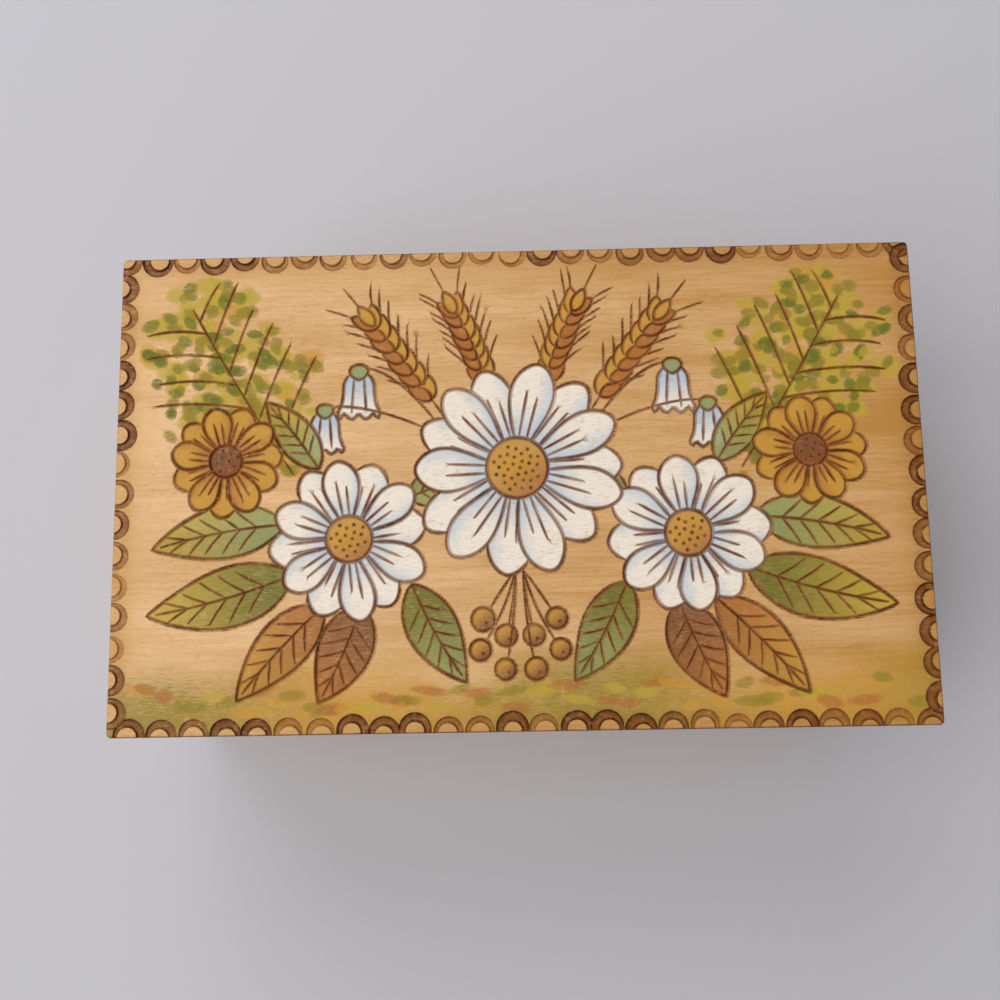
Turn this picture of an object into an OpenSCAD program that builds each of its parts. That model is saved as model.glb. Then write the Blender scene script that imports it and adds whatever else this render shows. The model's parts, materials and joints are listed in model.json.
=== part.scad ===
// Hinged wooden trinket box with a carved lid board, sawn from one finger-jointed case.
// Millimetres, +Z up, origin in the middle of the underside, front of the box towards -Y.

/* [Box] */
// Outside width, left to right
box_w = 130; // [100:1:180]
// Outside depth, front to back
box_d = 78; // [60:1:120]
// Outside height with the lid closed
box_h = 50; // [42:1:80]
// Radius of the upright corners
corner_r = 0.8; // [0.5:0.1:2]

/* [Lid] */
// Height of the lid with its board
lid_h = 18; // [16:1:24]
// Thickness of the carved lid board
panel_t = 6; // [4:0.5:7]
// Width of the bevel round the top of the lid board
panel_bevel = 0.5; // [0.2:0.1:1]
// Angle at which the bevelled back edges meet and stop the lid
open_angle = 100; // [90:1:110]

/* [Walls] */
// Thickness of the walls and of the lid rails
wall_t = 7; // [6.5:0.5:10]
// Height that each finger of the corner joints comes close to
finger_h = 4; // [3:0.5:6]
// Width of the thumb notch in the front wall
notch_w = 20; // [12:1:30]
// Depth of the thumb notch into the front wall
notch_depth = 2.5; // [1.5:0.5:4]
// Height of the thumb notch below the lid
notch_h = 3; // [2:0.5:6]

/* [Base] */
// Thickness of the plywood base
base_t = 3; // [2:0.5:5]
// Width of the rabbet that holds the base
rabbet_w = 3.5; // [3:0.5:5]
// Clearance round the edge of the base
base_clear = 0.1; // [0.05:0.05:0.3]
// Diameter of a brad
brad_d = 1; // [0.8:0.1:1.2]
// Length of a brad
brad_len = 9; // [7:0.5:12]
// Diameter of a brad's head
brad_head_d = 2; // [1.6:0.1:2.6]
// Thickness of a brad's head
brad_head_t = 0.4; // [0.3:0.1:0.6]
// Depth of the heads below the underside
brad_sink = 0.1; // [0.05:0.05:0.3]
// Brads along each long wall
brads_long = 3; // [2:1:6]

/* [Hinges] */
// Length of a hinge
hinge_len = 18; // [15:1:24]
// Distance from the end of the box to the hinge
hinge_inset = 16; // [12:1:20]
// Width of a leaf, from the pin's axis
leaf_w = 4.8; // [4.2:0.1:6]
// Thickness of a leaf
leaf_t = 0.8; // [0.6:0.1:1]
// Gap between the closed leaves
leaf_gap = 0.2; // [0.1:0.05:0.3]
// Diameter of the barrel
barrel_d = 3; // [2.6:0.1:3.2]
// Distance of the barrel inside the back face
barrel_setback = 0.1; // [0.05:0.05:0.2]
// Clearance of the wood round the barrel
barrel_clear = 0.3; // [0.2:0.05:0.4]
// Clearance of a leaf's notch round the other leaf's knuckle
knuckle_clear = 0.25; // [0.15:0.05:0.3]
// Gap between neighbouring knuckles
knuckle_gap = 0.2; // [0.1:0.05:0.3]
// Clearance of the mortises round the leaves
mortise_clear = 0.1; // [0.05:0.05:0.2]
// Diameter of the hinge pin
pin_d = 1.4; // [1.2:0.1:1.6]
// Diameter of the pin's peened heads
pin_head_d = 2.2; // [2:0.1:2.4]
// Thickness of the pin's peened heads
pin_head_t = 0.3; // [0.2:0.1:0.4]
// Radial clearance of the pin in the turning knuckle
pin_run = 0.05; // [0.02:0.01:0.08]

/* [Screws] */
// Diameter of a screw
screw_d = 1.4; // [1.2:0.1:1.6]
// Length of a screw, head included
screw_len = 7; // [5:0.5:8]
// Diameter of a screw's countersunk head
screw_head_d = 2.4; // [2.2:0.1:2.5]
// Distance of a screw from the end of its leaf
screw_end = 3.5; // [2.5:0.1:4.5]
// Width of the slot in a screw's head
slot_w = 0.35; // [0.25:0.05:0.5]
// Depth of the slot in a screw's head
slot_depth = 0.3; // [0.2:0.05:0.4]

/* [Carved border] */
// Outside diameter of a ring mark
ring_od = 4.8; // [4:0.1:4.8]
// Inside diameter of a ring mark
ring_id = 3.2; // [2.4:0.1:3.4]
// Distance that the marks are spaced close to
ring_pitch = 5; // [5:0.1:8]
// Distance of a mark's centre from the edge of the board
ring_inset = 0.3; // [0:0.1:0.6]
// Depth of the marks
ring_depth = 0.35; // [0.2:0.05:0.6]

/* [Hidden] */
$fn = 48;

panel_wood = "#cfa56d";
wall_wood = "#c99f68";
plywood = "#c8a878";
brass = "#b08d45";
steel = "#8d8f92";

// Radial room round nails, screws and a fixed pin, so that neighbouring solids only touch
snug = 0.02;
// How far a cutter runs past the face that it cuts
past = 1;

seam_z = box_h - lid_h;
rail_h = lid_h - panel_t;
wall_fingers = max(2, round(seam_z / finger_h));
rail_fingers = max(2, round(rail_h / finger_h));

// The back edges are bevelled a little past half the opening, so that they stop just short of touching
bevel_spare = 0.25;
bevel_angle = open_angle / 2 + bevel_spare;

barrel_r = barrel_d / 2;
axis_y = box_d / 2 - barrel_setback - barrel_r;
hinge_x = box_w / 2 - hinge_inset - hinge_len / 2;
knuckles = 3;
body_knuckles = [0, 2];
lid_knuckles = [1];
knuckle_len = (hinge_len - (knuckles - 1) * knuckle_gap) / knuckles;
mortise_len = hinge_len + 2 * (pin_head_t + mortise_clear);
leaf_face = leaf_gap / 2;
screw_y = -(barrel_r + knuckle_clear + leaf_w) / 2;
screw_tip = screw_d;

notch_r = (notch_w * notch_w / 4 + notch_depth * notch_depth) / (2 * notch_depth);

base_edge = wall_t - rabbet_w;
brad_line = base_edge + rabbet_w / 2;
brad_end = box_w / 2 - 2 * wall_t;

// Centres of the ring marks along half of a long edge and a short edge
row_count = round(box_w / ring_pitch);
row_pitch = box_w / row_count;
column_first = ring_pitch;
column_gaps = round((box_d - 2 * column_first) / ring_pitch);
column_pitch = (box_d - 2 * column_first) / column_gaps;

// Plan of the box with its upright corners rounded
module footprint() {
    square([box_w - 2 * corner_r, box_d], center = true);
    square([box_w, box_d - 2 * corner_r], center = true);
    for (sx = [-1, 1], sy = [-1, 1])
        translate([sx * (box_w / 2 - corner_r), sy * (box_d / 2 - corner_r)])
            circle(r = corner_r);
}

// Face of a board with the fingers that it owns at both ends
module fingered_face(length, height, count, first) {
    step = height / count;
    translate([wall_t - length / 2, 0])
        square([length - 2 * wall_t, height]);
    for (i = [first : 2 : count - 1])
        translate([-length / 2, i * step])
            square([length, step]);
}

// A board along the front (side -1) or the back (side 1), whose lowest finger is its own if first is 0
module long_board(side, height, count, first) {
    intersection() {
        translate([0, side * (box_d - wall_t) / 2, 0])
            rotate([90, 0, 0])
                linear_extrude(wall_t, center = true)
                    fingered_face(box_w, height, count, first);
        linear_extrude(height) footprint();
    }
}

// A board along the left (side -1) or the right (side 1), which owns the fingers that the long boards don't
module short_board(side, height, count, first) {
    intersection() {
        translate([side * (box_w - wall_t) / 2, 0, 0])
            rotate([90, 0, 90])
                linear_extrude(wall_t, center = true)
                    fingered_face(box_d, height, count, 1 - first);
        linear_extrude(height) footprint();
    }
}

// Wedge that bevels the back edge of the body below the seam
module back_bevel() {
    reach = box_d / 2 - axis_y + past;
    rotate([90, 0, 90])
        linear_extrude(box_w + 2 * past, center = true)
            polygon([
                [axis_y, seam_z],
                [axis_y + reach, seam_z - reach * tan(bevel_angle)],
                [axis_y + reach, seam_z + past],
                [axis_y, seam_z + past]
            ]);
}

// Turns what is drawn for the body's half of the seam over to the lid's half
module above_seam() {
    translate([0, 0, 2 * seam_z])
        mirror([0, 0, 1])
            children();
}

// Places a hinge's own frame, with X along its pin, at the left (side -1) or the right (side 1)
module at_hinge(side) {
    translate([side * hinge_x, axis_y, seam_z])
        children();
}

// A stretch of the hinge barrel of any radius, over one knuckle and room at its ends
module knuckle(index, radius, room) {
    translate([index * (knuckle_len + knuckle_gap) - hinge_len / 2 - room, 0, 0])
        rotate([0, 90, 0])
            cylinder(r = radius, h = knuckle_len + 2 * room);
}

// Outline of a countersunk screw about its own axis, head up, grown by some room
module screw_shape(room) {
    head_r = screw_head_d / 2 + room;
    shank_r = screw_d / 2 + room;
    rotate_extrude()
        polygon([
            [0, 0],
            [head_r, 0],
            [shank_r, shank_r - head_r],
            [shank_r, screw_tip - screw_len],
            [0, -screw_len - room]
        ]);
}

// Places of the two screws of a body leaf, in the hinge's frame
module at_screws() {
    for (s = [-1, 1])
        translate([s * (hinge_len / 2 - screw_end), screw_y, -leaf_face])
            children();
}

// Wood cut away for one leaf, its half of the barrel and its screws, below the seam
module mortise() {
    floor_z = -leaf_face - leaf_t;
    translate([-mortise_len / 2, -leaf_w - mortise_clear, floor_z])
        cube([mortise_len, leaf_w + mortise_clear + box_d / 2 - axis_y + past, past - floor_z]);
    rotate([0, 90, 0])
        cylinder(r = barrel_r + barrel_clear, h = mortise_len, center = true);
    at_screws() screw_shape(snug);
}

// Cuts that the back board of the body has for both hinges
module hinge_mortises() {
    for (side = [-1, 1])
        at_hinge(side) mortise();
}

// A hinge leaf below the seam, with its own knuckles, room for the others and a bore for the pin
module leaf(own, others, bore_r) {
    difference() {
        union() {
            translate([-hinge_len / 2, -leaf_w, -leaf_face - leaf_t])
                cube([hinge_len, leaf_w, leaf_t]);
            for (k = own)
                knuckle(k, barrel_r, 0);
        }
        for (k = others)
            knuckle(k, barrel_r + knuckle_clear, knuckle_gap);
        rotate([0, 90, 0])
            cylinder(r = bore_r, h = hinge_len + 2 * past, center = true);
        at_screws() screw_shape(snug);
    }
}

module body_leaf(side) {
    color(brass)
        at_hinge(side) leaf(body_knuckles, lid_knuckles, pin_d / 2 + snug);
}

module lid_leaf(side) {
    color(brass)
        above_seam() at_hinge(side) leaf(lid_knuckles, body_knuckles, pin_d / 2 + pin_run);
}

module hinge_pin(side) {
    color(brass)
        at_hinge(side)
            rotate([0, 90, 0]) {
                cylinder(d = pin_d, h = hinge_len, center = true);
                for (end = [-1, 1])
                    translate([0, 0, end * (hinge_len + pin_head_t) / 2])
                        cylinder(d = pin_head_d, h = pin_head_t, center = true);
            }
}

module screw() {
    difference() {
        screw_shape(0);
        translate([-screw_head_d, -slot_w / 2, -slot_depth])
            cube([2 * screw_head_d, slot_w, slot_depth + past]);
    }
}

module leaf_screws() {
    for (side = [-1, 1])
        at_hinge(side) at_screws() screw();
}

module body_hinge_screws() {
    color(brass) leaf_screws();
}

module lid_hinge_screws() {
    color(brass) above_seam() leaf_screws();
}

// Recess in the underside of the walls that takes the base
module base_rabbet() {
    translate([base_edge - box_w / 2, base_edge - box_d / 2, -past])
        cube([box_w - 2 * base_edge, box_d - 2 * base_edge, base_t + past]);
}

// Places of the brads, in the middle of the rabbet
module at_brads() {
    for (i = [0 : brads_long - 1], sy = [-1, 1])
        translate([(2 * i / (brads_long - 1) - 1) * brad_end, sy * (box_d / 2 - brad_line), brad_sink])
            children();
    for (sx = [-1, 1])
        translate([sx * (box_w / 2 - brad_line), 0, brad_sink])
            children();
}

module brad(room) {
    cylinder(r = brad_d / 2 + room, h = brad_len + room);
    cylinder(r = brad_head_d / 2 + room, h = brad_head_t);
}

module base_brads() {
    color(steel) at_brads() brad(0);
}

// Opens the wood for the brads, from below the base
module brad_holes() {
    at_brads() {
        brad(snug);
        translate([0, 0, -brad_sink - past])
            cylinder(r = brad_head_d / 2 + snug, h = brad_sink + past);
    }
}

module base_panel() {
    color(plywood)
        difference() {
            translate([base_edge + base_clear - box_w / 2, base_edge + base_clear - box_d / 2, 0])
                cube([
                    box_w - 2 * (base_edge + base_clear),
                    box_d - 2 * (base_edge + base_clear),
                    base_t
                ]);
            brad_holes();
        }
}

module front_wall() {
    color(wall_wood)
        difference() {
            long_board(-1, seam_z, wall_fingers, 0);
            base_rabbet();
            brad_holes();
            translate([0, notch_depth - notch_r - box_d / 2, seam_z - notch_h])
                cylinder(r = notch_r, h = notch_h + past);
        }
}

module back_wall() {
    color(wall_wood)
        difference() {
            long_board(1, seam_z, wall_fingers, 0);
            base_rabbet();
            brad_holes();
            back_bevel();
            hinge_mortises();
        }
}

module side_wall(side) {
    color(wall_wood)
        difference() {
            short_board(side, seam_z, wall_fingers, 0);
            base_rabbet();
            brad_holes();
            back_bevel();
        }
}

// The lid's fingers carry on the alternation of the walls below
module lid_front_rail() {
    color(wall_wood)
        translate([0, 0, seam_z])
            long_board(-1, rail_h, rail_fingers, wall_fingers % 2);
}

module lid_back_rail() {
    color(wall_wood)
        difference() {
            translate([0, 0, seam_z])
                long_board(1, rail_h, rail_fingers, wall_fingers % 2);
            above_seam() {
                back_bevel();
                hinge_mortises();
            }
        }
}

module lid_side_rail(side) {
    color(wall_wood)
        difference() {
            translate([0, 0, seam_z])
                short_board(side, rail_h, rail_fingers, wall_fingers % 2);
            above_seam() back_bevel();
        }
}

// Cross-section of the lid board over one of its widths, with the top edges bevelled
module board_section(width) {
    polygon([
        [-width / 2, 0],
        [width / 2, 0],
        [width / 2, panel_t - panel_bevel],
        [width / 2 - panel_bevel, panel_t],
        [panel_bevel - width / 2, panel_t],
        [-width / 2, panel_t - panel_bevel]
    ]);
}

module ring_mark() {
    difference() {
        circle(d = ring_od);
        circle(d = ring_id);
    }
}

// The border: half-round ring marks along all four edges of the lid board
module border_marks() {
    for (i = [0 : row_count - 1], sy = [-1, 1])
        translate([(i + 0.5) * row_pitch - box_w / 2, sy * (box_d / 2 - ring_inset)])
            ring_mark();
    for (i = [0 : column_gaps], sx = [-1, 1])
        translate([sx * (box_w / 2 - ring_inset), column_first + i * column_pitch - box_d / 2])
            ring_mark();
}

module lid_panel() {
    color(panel_wood)
        difference() {
            translate([0, 0, box_h - panel_t])
                intersection() {
                    linear_extrude(panel_t) footprint();
                    rotate([90, 0, 0])
                        linear_extrude(box_d + 2 * past, center = true) board_section(box_w);
                    rotate([90, 0, 90])
                        linear_extrude(box_w + 2 * past, center = true) board_section(box_d);
                }
            translate([0, 0, box_h - ring_depth])
                linear_extrude(ring_depth + past) border_marks();
        }
}

base_panel();
base_brads();
front_wall();
back_wall();
side_wall(-1);  // left_wall
side_wall(1);  // right_wall
body_leaf(-1);  // left_hinge_body_leaf
body_leaf(1);  // right_hinge_body_leaf
hinge_pin(-1);  // left_hinge_pin
hinge_pin(1);  // right_hinge_pin
body_hinge_screws();
lid_panel();
lid_front_rail();
lid_back_rail();
lid_side_rail(-1);  // lid_left_rail
lid_side_rail(1);  // lid_right_rail
lid_leaf(-1);  // left_hinge_lid_leaf
lid_leaf(1);  // right_hinge_lid_leaf
lid_hinge_screws();
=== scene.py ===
"""Looks of a carved, burnt and painted wooden trinket box, dressed around its CAD frame."""

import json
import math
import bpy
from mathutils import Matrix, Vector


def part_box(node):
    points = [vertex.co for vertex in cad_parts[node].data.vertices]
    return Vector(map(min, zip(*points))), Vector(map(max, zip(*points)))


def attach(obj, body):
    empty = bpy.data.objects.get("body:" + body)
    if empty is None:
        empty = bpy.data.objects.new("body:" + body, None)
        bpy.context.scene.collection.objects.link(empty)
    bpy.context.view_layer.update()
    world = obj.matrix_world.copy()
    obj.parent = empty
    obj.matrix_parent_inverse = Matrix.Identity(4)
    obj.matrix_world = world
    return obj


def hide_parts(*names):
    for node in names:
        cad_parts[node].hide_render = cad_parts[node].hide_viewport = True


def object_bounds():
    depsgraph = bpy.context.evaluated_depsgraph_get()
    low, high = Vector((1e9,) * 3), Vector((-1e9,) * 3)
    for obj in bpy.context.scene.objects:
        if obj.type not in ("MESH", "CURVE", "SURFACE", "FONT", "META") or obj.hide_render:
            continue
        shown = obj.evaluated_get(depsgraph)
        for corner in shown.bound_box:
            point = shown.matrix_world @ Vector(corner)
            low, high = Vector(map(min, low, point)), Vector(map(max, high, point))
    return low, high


bl_info = {
    "name": "Carved trinket box",
    "version": (1, 0, 0),
    "blender": (4, 5, 0),
    "location": "View3D > Sidebar > Trinket box",
    "description": "Carved and painted lid board, varnished walls and brass hinges of a trinket box",
    "category": "Object",
}

from types import SimpleNamespace

import bmesh
import bpy
import numpy as np
from bpy.props import FloatProperty, FloatVectorProperty, IntProperty, PointerProperty
from mathutils import Vector, geometry, kdtree

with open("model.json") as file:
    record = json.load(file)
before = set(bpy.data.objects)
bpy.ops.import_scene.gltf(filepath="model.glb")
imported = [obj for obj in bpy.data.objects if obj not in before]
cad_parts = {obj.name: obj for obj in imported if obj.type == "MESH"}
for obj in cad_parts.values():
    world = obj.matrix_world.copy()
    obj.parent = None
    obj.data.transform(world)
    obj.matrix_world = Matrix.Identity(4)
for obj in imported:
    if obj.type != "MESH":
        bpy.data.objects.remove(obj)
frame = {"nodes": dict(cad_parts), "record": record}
cad_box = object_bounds()

MM = 0.001
BODY_OF = {
    node: body
    for body, nodes in frame["record"]["behaviour"]["bodies"].items()
    for node in nodes
}

# Wall and rail boards by the way their grain runs
BOARDS = {
    "X": ("front_wall", "back_wall", "lid_front_rail", "lid_back_rail"),
    "Y": ("left_wall", "right_wall", "lid_left_rail", "lid_right_rail"),
}

# Leaves, pins and screws of both hinges
HINGE_NODES = [node for node in BODY_OF if "hinge" in node]

# Mesh of the lid's top, in millimetres: steps along lines, dabs and corners, the distance at which points
# merge, how far a mark's arcs run past the edge, and how far a plain point strays as a share of the spacing
LINE_STEP = 0.6
DAB_STEP = 1.0
CORNER_STEP = 0.2
MERGE = 0.012
PAST_EDGE = 0.7
STRAY = 0.3

# Burnt parts, in millimetres: the line round the lid's edge, burnt and partly painted shade, and its full
# core, the lip below it, and a dot
EDGE_LINE = 0.32
EDGE_CORE = 0.05
LIP = 0.9
DOT_RADIUS = 0.1
DOT_WIDTH = 0.3

# Cover of a burnt line, and of the stain and the smoke along the lid's border, each of these with the
# distances in millimetres between which it fades out
LINE_COVER = 0.96
STAIN = (0.42, 1.0, 6.5)
SMOKE = (0.15, 1.8, 3.6)

# Forms of the painted blades: the share of its length where one is widest, and how pointed its ends are
PETAL = {"belly": 0.66, "fullness": 0.55}
LEAF = {"belly": 0.42, "fullness": 0.85}
DAB = {"belly": 0.52, "fullness": 0.5}
GRAIN = {"belly": 0.45, "fullness": 0.7}
CALYX = {"belly": 0.4, "fullness": 0.6}

# Places on the right half of the lid, in millimetres from its middle, which the left half mirrors: the foot,
# the pull and the tip of a wheat stalk, the same with the size of a bell, and the centres of the berries
WHEAT_EARS = (((3.5, 10), (5.5, 21), (10.5, 30)), ((9, 7), (16, 18), (24.5, 28.5)))
BELLS = (((12, 9), (20, 20), (25.5, 19.5), 6.2), ((12, 8), (24, 14), (31, 13), 5.6))
BERRIES = ((2.2, -24.2), (5.8, -21.6), (6.3, -26.4), (2.4, -29.4))

# Daisies: centre and radius in millimetres, number of petals, and turn in degrees
GOLD_DAISY = ((47, 4.5), 9, 11, 5)
WHITE_DAISY = ((27, -8.5), 12.8, 12, 8)
MIDDLE_DAISY = ((0, 2.5), 17, 14, 4)

# Border marks along an edge: how many, the centres of the first and the last in millimetres from the left
# or the front corner, and how strongly they are burnt on the whole. They are struck by eye, so no two
# edges agree.
BACK_MARKS = (27, 0.8, 128.6, 0.6)
FRONT_MARKS = (26, 3.7, 128.0, 0.8)
LEFT_MARKS = (15, 3.8, 73.0, 0.55)
RIGHT_MARKS = (15, 4.4, 75.1, 0.9)

# Heat of a border mark: how far it strays from its edge's, its least value, and its range at the corners
HEAT_SPREAD = 0.5
LEAST_HEAT = 0.1
CORNER_HEAT = (0.75, 1.0)

# How far a mark strays along its edge and inwards, and its hollow from it along the edge and outwards, in
# millimetres, how their sizes vary, as shares, and how far the deepest side turns from inwards, in radians
MARK_ALONG = 0.2
MARK_ACROSS = (-0.35, 0.5)
HOLLOW_ALONG = 0.34
HOLLOW_OUT = (0.2, 0.65)
MARK_SHAKE = (0.97, 1.03)
HOLLOW_SHAKE = (0.95, 1.05)
MARK_SKEW = 0.7

# What grows or shrinks with a mark's heat, as its value at none and the change to full heat: the size of
# its outside and of its hollow, its depth, the cover of its burn and of its rims, and how patchy they are
MARK_SIZE = (0.855, 0.175)
HOLLOW_SIZE = (1.09, -0.14)
MARK_DEPTH = (0.6, 0.4)
MARK_COVER = (0.7, 0.28)
INNER_RIM = (0.42, 0.56)
OUTER_RIM = (0.28, 0.7)
PATCHY = (0.18, -0.06)

# How much of its cover a mark without heat loses towards its ends
TAPER = 0.6

# A line burnt by hand: how its width swells slowly and shakes quickly, its heat, and how far its darkest
# part lies to one side, all as shares
LINE_SWELL = (0.8, 1.15)
LINE_SHAKE = (0.93, 1.07)
LINE_HEAT = (0.35, 1.0)
CORE_LEAN = (0.1, 0.45)

# How dark the lid's top edge is along the front, along the left and elsewhere. It is a burnt line with
# painted shade: darkest along the front, which faces away from the light, faintest along the left, which
# faces it
FRONT_BURN_AND_SHADE = 0.95
LEFT_BURN_AND_SHADE = 0.4
EDGE_BURN_AND_SHADE = 0.75

# The photograph's viewpoint: place in millimetres, turn in degrees, lens and nearest sight in millimetres
CAMERA_PLACE = (-0.34, -25.32, 208.25)
CAMERA_TURN = (8.12, 1.06, -1.0)
CAMERA_LENS = 36.0
CAMERA_NEAR = 10.0

# Middles and widths of the two square lamps, half the floor's width, and the distances between which the
# floor runs into the backdrop, in metres
LEFT_LAMP = ((-0.72, -0.22, 0.79), 1.03)
BACK_LAMP = ((-0.36, 0.87, 0.69), 0.93)
FLOOR_HALF = 10.0
FLOOR_FADE = (0.3, 1.0)

# Boards, in metres: the distance at which corners merge, the one at which a point counts as lying on a
# face, and the shortest edge that is eased
WELD = 0.002 * MM
TOUCH = 0.01 * MM
EASED_LENGTH = 1.5 * MM

# Angles between faces: below the first they become one, above the second they are shaded apart, and above
# the third their edge is eased
FLAT_ANGLE = math.radians(0.5)
SHARP_ANGLE = math.radians(30)
EASED_ANGLE = math.radians(50)

# Share of a face's normal along the grain above which it shows end grain
END_GRAIN = 0.75

# Share of late wood in the varnished linden at the left and the right end. On the lid its rise towards
# the right is painted shade, darker where less light falls; on the walls it stays even
LID_TONES_AND_PAINTED_SHADE = (0.13, 0.82)
WALL_TONES = (0.45, 0.45)

# Clear semi-gloss varnish
VARNISH = {"Roughness": 0.45, "Specular IOR Level": 0.12, "Coat Weight": 0.04, "Coat Roughness": 0.25}


def linear(hex_code):
    """Linear RGB of an sRGB hex colour."""
    parts = [int(hex_code[i : i + 2], 16) / 255 for i in (1, 3, 5)]
    return tuple(p / 12.92 if p <= 0.04045 else ((p + 0.055) / 1.055) ** 2.4 for p in parts)


def length(name, description, millimetres):
    """A size that the sidebar shows, given in millimetres and kept in metres."""
    return FloatProperty(
        name=name, description=description, default=millimetres * MM, min=0.0, precision=5, unit="LENGTH"
    )


def tint(name, description, hex_code):
    """A colour that the sidebar shows."""
    default = linear(hex_code)
    return FloatVectorProperty(
        name=name, description=description, default=default, size=3, min=0.0, max=1.0, subtype="COLOR"
    )


class LidCarving(bpy.types.PropertyGroup):
    """Sizes of the marks cut and burnt into the lid board."""

    corner_radius: length("Corner radius", "Radius of the box's upright corners", 0.8)
    edge_round: length("Edge rounding", "Radius worn onto the top edges of the lid board", 0.3)
    outline_width: length("Outline width", "Width of a burnt outline", 0.56)
    vein_width: length("Vein width", "Width of a vein or another fine burnt line", 0.36)
    groove_depth: length("Groove depth", "Depth of an outline's groove", 0.22)
    scorch: length("Scorch", "Reach of the scorched wood beside a burnt line", 0.2)
    ring_outer: length("Ring outside", "Outside diameter of a border mark", 4.87)
    ring_inner: length("Ring inside", "Inside diameter of a border mark", 3.1)
    ring_inset: length("Ring inset", "Distance of a mark's centre from the edge", 0.35)
    ring_depth: length("Ring depth", "Depth of a border mark", 0.32)
    ring_wall: length("Ring wall", "Width of the sloping sides of a border mark", 0.13)
    facet: length("Facet", "Spacing of the mesh on plain wood", 1.3)
    hand: IntProperty(name="Hand", description="Seed of the uneven places of hand work", default=7, min=0)


class LidPaints(bpy.types.PropertyGroup):
    """Colours of the burnt lines and of the paints on the lid."""

    char: tint("Char", "Darkest part of a burnt line", "#370f02")
    scorched: tint("Scorched wood", "Rest of a burnt line", "#83481c")
    ring_pale: tint("Light ring", "Floor of a lightly burnt border mark", "#a36b34")
    ring_dark: tint("Dark ring", "Floor of a strongly burnt border mark", "#7b421a")
    stain: tint("Stain", "Yellow stain along the border, at the left", "#c6954a")
    stain_dark: tint("Dark stain", "Brown stain along the border, at the right", "#a7742e")
    white: tint("White", "Opaque white", "#ebdfd0")
    blue: tint("Pale blue", "Shade of the white petals, and the bells", "#aebfcb")
    ochre: tint("Ochre", "Gold ochre", "#c28f38")
    brown: tint("Brown", "Red-brown wash", "#784a31")
    orange: tint("Orange-brown", "Autumn leaves and berries", "#a8672f")
    lime: tint("Lime", "Yellow-green dabs", "#b79c36")
    olive: tint("Olive", "Olive dabs", "#8c7a27")
    leaf: tint("Leaf green", "Green dabs", "#656c23")
    sage: tint("Sage", "Grey-green wash", "#87985c")


class Woods(bpy.types.PropertyGroup):
    """Colours of the wood and metal, and the softening of the edges."""

    # On the lid, the mix between pale and late wood also carries painted shade, darker towards the right
    pale: tint("Pale wood", "Early wood of the varnished linden", "#e6bc8a")
    dark: tint("Dark wood", "Late wood of the varnished linden", "#ba8644")
    fleck: tint("Flecks", "Short dark flecks along the grain", "#94693b")
    end: tint("End grain", "Sawn ends of the boards", "#a67a48")
    veneer: tint("Plywood", "Face veneer of the base", "#cfae82")
    brass: tint("Brass", "Polished brass", "#c79f55")
    patina: tint("Patina", "Tarnish on the brass", "#6f5426")
    steel: tint("Steel", "Drawn wire", "#a9abad")
    rim_round: length("Rim rounding", "Radius sanded onto the rims of the box", 0.4)
    joint_line: length("Joint line", "Softening of the edges at the corner joints", 0.07)


class Studio(bpy.types.PropertyGroup):
    """Floor and light of the stage."""

    floor: tint("Floor", "Plain pale floor", "#c1c0c6")
    backdrop: tint("Backdrop", "Pale surround that the floor runs into", "#c9c8cd")
    left: FloatProperty(name="Left lamp", description="Soft light from the left", default=7.1, unit="POWER")
    back: FloatProperty(name="Back lamp", description="Soft light from the back", default=6.3, unit="POWER")
    sky: FloatProperty(name="Sky", description="Strength of the light from all round", default=0.42, min=0.0)


def arc(centre, radius, start, end, step=LINE_STEP):
    """Points on a circle from one angle to another, in degrees, about step apart."""
    count = max(7, round(math.radians(abs(end - start)) * radius / step))
    angles = np.radians(np.linspace(start, end, count))
    return np.asarray(centre) + radius * np.column_stack((np.cos(angles), np.sin(angles)))


def toward(angle):
    """A step of one in the direction of an angle in radians."""
    return np.array((math.cos(angle), math.sin(angle)))


def spaced(points, step):
    """Points at even spaces of about step along a line."""
    path = np.asarray(points, float)
    reach = np.concatenate(([0], np.cumsum(np.linalg.norm(np.diff(path, axis=0), axis=1))))
    places = np.linspace(0, reach[-1], max(3, round(reach[-1] / step)) + 1)
    return np.column_stack([np.interp(places, reach, path[:, k]) for k in (0, 1)])


def half_width(along, wide, belly, fullness):
    """Half width of a blade at a share of its length."""
    return wide / 2 * np.abs(np.sin(math.pi * along ** (math.log(0.5) / math.log(belly)))) ** fullness


def blade(long, wide, belly, fullness, step=LINE_STEP):
    """Closed outline of a petal, leaf or grain from the origin along +X.

    belly is the share of its length where it is widest. Its ends are pointed at a fullness of 1 and blunt
    at less.
    """
    along = (1 - np.cos(np.linspace(0, math.pi, 41))) / 2
    upper = spaced(np.column_stack((along * long, half_width(along, wide, belly, fullness))), step)
    return np.vstack((upper, (upper * (1, -1))[-2:0:-1]))


def bend(points, turn, long):
    """Bends points that lie along +X, so that the far end of that length turns by an angle in degrees."""
    curve = math.radians(turn) / long
    if abs(curve) < 1e-9:
        return points
    angles = points[:, 0] * curve
    radii = 1 / curve - points[:, 1]
    return np.column_stack((radii * np.sin(angles), 1 / curve - radii * np.cos(angles)))


def sweep(start, pull, end):
    """Points along the curve that leaves start towards pull and arrives at end from it."""
    start, pull, end = (np.asarray(p, float) for p in (start, pull, end))
    t = np.linspace(0, 1, 41)[:, None]
    return spaced(start * (1 - t) ** 2 + pull * 2 * t * (1 - t) + end * t**2, LINE_STEP)


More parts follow.
